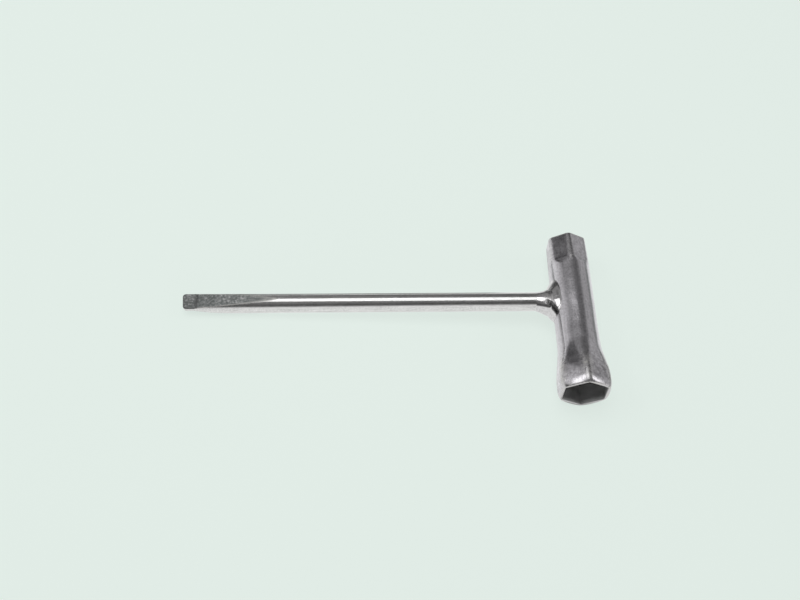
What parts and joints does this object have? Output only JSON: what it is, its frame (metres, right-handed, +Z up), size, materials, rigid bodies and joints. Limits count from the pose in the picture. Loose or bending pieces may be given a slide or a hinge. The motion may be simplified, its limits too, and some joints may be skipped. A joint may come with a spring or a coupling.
{
  "type": "chainsaw combination wrench",
  "caption": "T-shaped plated steel hand tool: a straight rod with a flat screwdriver blade, welded square to a cross tube with a large hexagon socket at one end and a small one at the other.",
  "frame": {"origin": "where the rod's axis crosses the tube's axis, at the middle of the tube's round bore", "axes": "-X along the rod to the blade's tip, -Y along the tube to the large socket's mouth, +Z up, square to both"},
  "size_m": [0.1982, 0.0835, 0.0258],
  "materials": {
    "plated_tube": "bright plating over a drawn and pressed tube, with faint die streaks and fine speckle",
    "plated_rod": "bright plating over a drawn rod, dull and mottled on the pressed blade faces",
    "plated_weld": "bright plating over a weld with a smooth collar on the rod and a rippled bead on the tube"
  },
  "bodies": {
    "root": {"socket_tube": "plated_tube", "shank_rod": "plated_rod", "weld_fillet": "plated_weld"}
  },
  "joints": []
}
